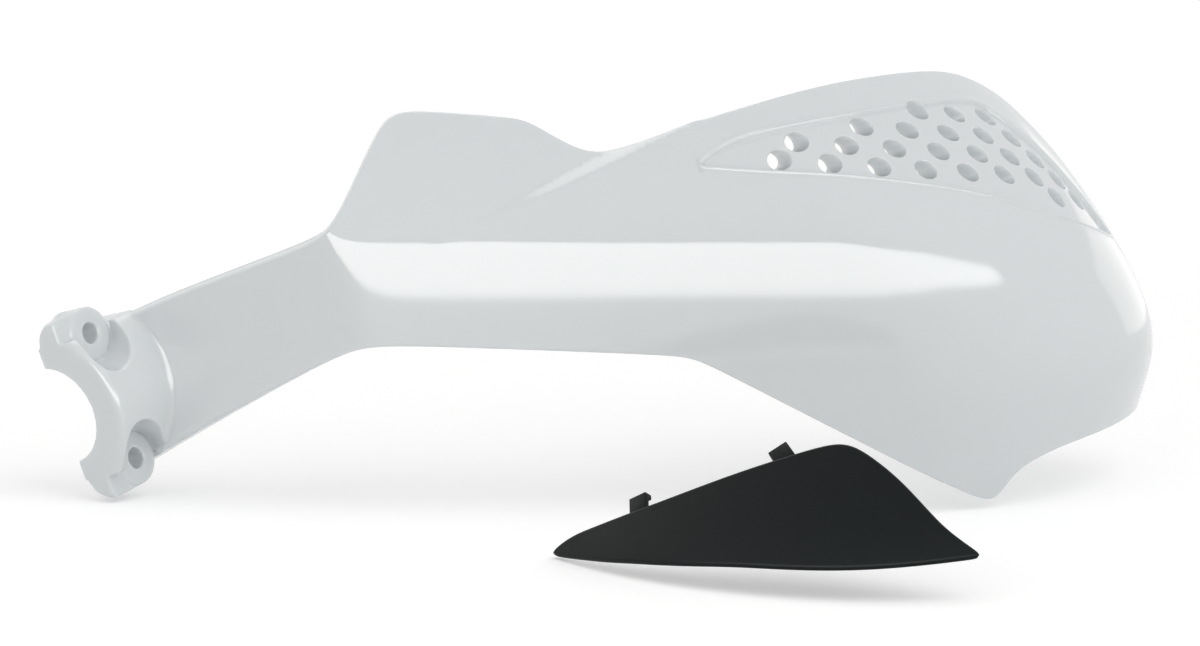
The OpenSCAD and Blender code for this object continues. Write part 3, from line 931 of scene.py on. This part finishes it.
def new_material(name):
    made = bpy.data.materials.new(name)
    made.use_nodes = True
    made.node_tree.nodes.clear()
    return made, made.node_tree


# A colour mix node takes its factor, first and second colour at these sockets
MIX_FACTOR, MIX_A, MIX_B, MIX_RESULT = 0, 6, 7, 2

# %% [markdown]
# ### White, from a polished mould
# A polished mould gives a gloss that mirrors a lamp with a clear edge, only a little softened. The
# wall lets some light through, which lifts the shade. Two slow noises keep it from looking like a
# drawing: one for the waves of a cooled wall, one for the marks of handling. The walls of the vents
# are so thin that more light comes through, so their faces get a copy that lets more in.

# %% White polypropylene, polished mould
WAVE_SIZE, MARK_SIZE, WAVE_HEIGHT = 0.009, 0.003, 0.00004
white_pp, tree = new_material("white_polypropylene_moulded_gloss")
where = add(tree, "ShaderNodeTexCoord").outputs["Object"]
# Slow waves, about 9 mm long, a few hundredths of a millimetre high
waves = add(tree, "ShaderNodeTexNoise", {"Scale": 1 / WAVE_SIZE, "Detail": 1.0}, {"Vector": where})
# Handling marks, about 3 mm, that vary the gloss a little
marks = add(tree, "ShaderNodeTexNoise", {"Scale": 1 / MARK_SIZE, "Detail": 3.0}, {"Vector": where})
gloss = add(tree, "ShaderNodeMapRange", {"To Min": 0.085, "To Max": 0.125},
            {"Value": marks.outputs["Fac"]})
cloud = add(tree, "ShaderNodeMapRange", {"To Min": 0.985, "To Max": 1.0},
            {"Value": waves.outputs["Fac"]})
tint = add(tree, "ShaderNodeMix", {
    "data_type": "RGBA", "blend_type": "MULTIPLY", MIX_FACTOR: 1.0, MIX_A: linear("#DDE1E3")},
    {MIX_B: cloud.outputs["Result"]})
bump = add(tree, "ShaderNodeBump", {"Strength": 0.05, "Distance": WAVE_HEIGHT},
           {"Height": waves.outputs["Fac"]})
plastic = add(tree, "ShaderNodeBsdfPrincipled", {
    "IOR": 1.49, "Subsurface Weight": 0.3, "Subsurface Radius": (1, 1, 1),
    "Subsurface Scale": 0.0025}, {
    "Base Color": tint.outputs[MIX_RESULT], "Roughness": gloss.outputs["Result"],
    "Normal": bump.outputs["Normal"]})
add(tree, "ShaderNodeOutputMaterial", {}, {"Surface": plastic.outputs["BSDF"]})
print("Made", white_pp.name)

# %% The same plastic in the walls of the vents
wall_pp = white_pp.copy()
wall_pp.name = "white_polypropylene_thin_wall"
glowing = next(node for node in wall_pp.node_tree.nodes if node.type == "BSDF_PRINCIPLED")
glowing.inputs["Subsurface Weight"].default_value = 1.0
glowing.inputs["Subsurface Scale"].default_value = 0.008
# The vents' rings are the last points of the moulding, two softened mouths for each vent
hole_start = len(points) - len(vents) * 2 * MOUTH_STEPS * RING
corner_face = np.repeat(np.arange(len(mesh.polygons)), read(mesh.polygons, "loop_total", 1, int))
in_wall = np.zeros(len(mesh.polygons), bool)
np.logical_or.at(in_wall, corner_face, kept[corner_vertex] >= hole_start)
print("Faces in the vents' walls:", in_wall.sum())

# %% [markdown]
# ### Black, from an etched mould
# The cover comes from a mould etched with a fine grain, which spreads the lamps into a soft, dim
# sheen. The same Principled BSDF does it, rougher and with less specular light, since a grained
# surface shades its own gloss. A bump carries the grain, because it is far too fine for a mesh.

# %% Black polypropylene, etched mould
GRAIN_SIZE, PATCH_SIZE, GRAIN_HEIGHT = 0.0006, 0.02, 0.00006
black_pp, tree = new_material("black_polypropylene_moulded_grain")
where = add(tree, "ShaderNodeTexCoord").outputs["Object"]
# Mould grain is about 0.3 mm on the real cover; it is drawn at 0.6 mm so that it shows here
grain = add(tree, "ShaderNodeTexNoise", {"Scale": 1 / GRAIN_SIZE, "Detail": 2.0}, {"Vector": where})
patches = add(tree, "ShaderNodeTexNoise", {"Scale": 1 / PATCH_SIZE, "Detail": 2.0},
              {"Vector": where})
gloss = add(tree, "ShaderNodeMapRange", {"To Min": 0.40, "To Max": 0.48},
            {"Value": patches.outputs["Fac"]})
speck = add(tree, "ShaderNodeMapRange", {"To Min": 0.85, "To Max": 1.15},
            {"Value": grain.outputs["Fac"]})
tint = add(tree, "ShaderNodeMix", {
    "data_type": "RGBA", "blend_type": "MULTIPLY", MIX_FACTOR: 1.0, MIX_A: linear("#101415")},
    {MIX_B: speck.outputs["Result"]})
bump = add(tree, "ShaderNodeBump", {"Strength": 0.5, "Distance": GRAIN_HEIGHT},
           {"Height": grain.outputs["Fac"]})
plastic = add(tree, "ShaderNodeBsdfPrincipled", {"IOR": 1.49, "Specular IOR Level": 0.12}, {
    "Base Color": tint.outputs[MIX_RESULT], "Roughness": gloss.outputs["Result"],
    "Normal": bump.outputs["Normal"]})
add(tree, "ShaderNodeOutputMaterial", {}, {"Surface": plastic.outputs["BSDF"]})
print("Made", black_pp.name)

# %% Put the finishes on
dressed = {"guard_shell": ((shield, clamp), white_pp, "shell_plastic"),
           "vent_cover": ((cover, *hooks), black_pp, "cover_plastic")}
for node, (pieces, finish, slot) in dressed.items():
    for piece in pieces:
        piece.data.materials.clear()
        piece.data.materials.append(finish)
        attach(piece, "root")
        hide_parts(node)
    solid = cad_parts[node].data
    solid.materials.clear()
    solid.materials.append(finish)
    print(node, "is shown by", [piece.name for piece in pieces])
shield.data.materials.append(wall_pp)
shield.data.polygons.foreach_set("material_index", in_wall.astype(int).tolist())

# %% [markdown]
# ## White studio
# A white object on white needs light that says where its faces turn. An even sky gives the plain
# level, and one wide, soft key lamp from the upper right gives the floor its faint shadow. Both
# floor and sky are brighter for the camera, for mirrors and for glass than for the light on the
# object: a switch in their materials does this, so the background is white and nothing clips.

# %% Floor and world
def only_seen(tree, seen, unseen):
    """A value for camera, mirror and glass rays, and another for light on the object."""
    path = add(tree, "ShaderNodeLightPath")
    one = add(tree, "ShaderNodeMath", {"operation": "MAXIMUM"},
              {0: path.outputs["Is Camera Ray"], 1: path.outputs["Is Glossy Ray"]})
    two = add(tree, "ShaderNodeMath", {"operation": "MAXIMUM"},
              {0: one.outputs[0], 1: path.outputs["Is Transmission Ray"]})
    switch = add(tree, "ShaderNodeMapRange", {"To Min": unseen, "To Max": seen},
                 {"Value": two.outputs[0]})
    return switch.outputs["Result"]


world = bpy.data.worlds.new("white_studio")
scene.world = world
world.use_nodes = True
world.node_tree.nodes.clear()
sky = add(world.node_tree, "ShaderNodeBackground", {"Color": linear("#FDFDFD")},
          {"Strength": only_seen(world.node_tree, 1.0, 0.69)})
add(world.node_tree, "ShaderNodeOutputWorld", {}, {"Surface": sky.outputs["Background"]})

floor_paper, tree = new_material("white_paper_floor")
paper = add(tree, "ShaderNodeBsdfDiffuse", {"Color": linear("#FAFAFA")})
lift = add(tree, "ShaderNodeEmission", {"Color": linear("#FDFDFD")},
           {"Strength": only_seen(tree, 0.23, 0.0)})
both = add(tree, "ShaderNodeAddShader", {}, {0: paper.outputs[0], 1: lift.outputs[0]})
add(tree, "ShaderNodeOutputMaterial", {}, {"Surface": both.outputs[0]})
floor_corners = ((-4000, -4000), (4500, -4000), (4500, 6000), (-4000, 6000))
floor = mesh_object("studio_floor", [(x, y, floor_z / MM) for x, y in floor_corners],
                    [(0, 1, 2, 3)])
floor.data.materials.append(floor_paper)
floor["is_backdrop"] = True
print("Floor at", round(floor_z / MM, 1), "mm, under the lowest point of the CAD box")

# %% Key lamp
KEY_FROM, KEY_STRENGTH, KEY_WIDTH = (0.5, -0.55, 0.9), 0.55, 45
key = bpy.data.lights.new("wide_key_lamp", "SUN")
key.energy = KEY_STRENGTH
key.angle = math.radians(KEY_WIDTH)
key_lamp = placed("wide_key_lamp", key)
key_lamp.rotation_euler = Vector(KEY_FROM).to_track_quat("Z", "Y").to_euler()
key_lamp.visible_glossy = False

# %% [markdown]
# ## Lamp strips
# A glossy face shows its shape by what it mirrors. Three bent strips stand round the guard, hidden
# from the camera and casting no shadow. The front one is mirrored as the bright band on the
# shield's lower face. Its outline is shaped like that band turned back through the mirror: low at
# the arm's side, and rising to the far end, because the wrap looks up at the strip from there. The
# back one is seen on the flank above the winglet's crease, and the side one on the wrapped end. As
# in the studio above, each is bright where it is mirrored and plain as a light on the object.

# %% Lamp strips that the gloss mirrors
STRIP_X, STRIP_R, STRIP_STEPS = 190, 450.0, 60
front_rows = [(-142, -122, 190), (-117, -80, 190), (-107, -62, 190), (-98, -38, 195),
              (-92, -26, 172), (-80, -26, 165), (-68, 29, 178), (-47, 109, 204), (-22, 165, 198)]
back_rows = [(92, 430, 2000), (130, 330, 1800), (160, 100, 480), (178, 100, 300)]
side_rows = [(28, 10, 130), (62, -10, 150)]


def lamp_strip(name, rows, seen, unseen):
    """A bent strip round the guard, from rows of (turn in degrees, lowest, highest in mm)."""
    turns = np.linspace(rows[0][0], rows[-1][0], STRIP_STEPS)
    low, high = (np.interp(turns, [row[0] for row in rows], [row[k] for row in rows])
                 for k in (1, 2))
    corners = []
    for turn, bottom, top in zip(np.radians(turns), low, high):
        x, y = STRIP_X + STRIP_R * math.cos(turn), STRIP_R * math.sin(turn)
        corners += [(x, y, bottom), (x, y, top)]
    quads = [(2 * i, 2 * i + 2, 2 * i + 3, 2 * i + 1) for i in range(STRIP_STEPS - 1)]
    strip = mesh_object(name, corners, quads)
    light, tree = new_material(name + "_light")
    glow = add(tree, "ShaderNodeEmission", {"Color": linear("#FFFDFA")},
               {"Strength": only_seen(tree, seen, unseen)})
    add(tree, "ShaderNodeOutputMaterial", {}, {"Surface": glow.outputs[0]})
    strip.data.materials.append(light)
    strip.visible_camera = False
    strip.visible_shadow = False
    strip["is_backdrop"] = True
    print(name, "spans", rows[-1][0] - rows[0][0], "degrees round the guard")


lamp_strip("front_strip", front_rows, 7.6, 1.0)
lamp_strip("back_strip", back_rows, 2.6, 0.69)
lamp_strip("side_strip", side_rows, 1.7, 0.62)

# %% Print the visual box and finish
visual_box = [list(corner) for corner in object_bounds()]
print("Visual box in mm:", [[round(v / MM, 1) for v in corner] for corner in visual_box])
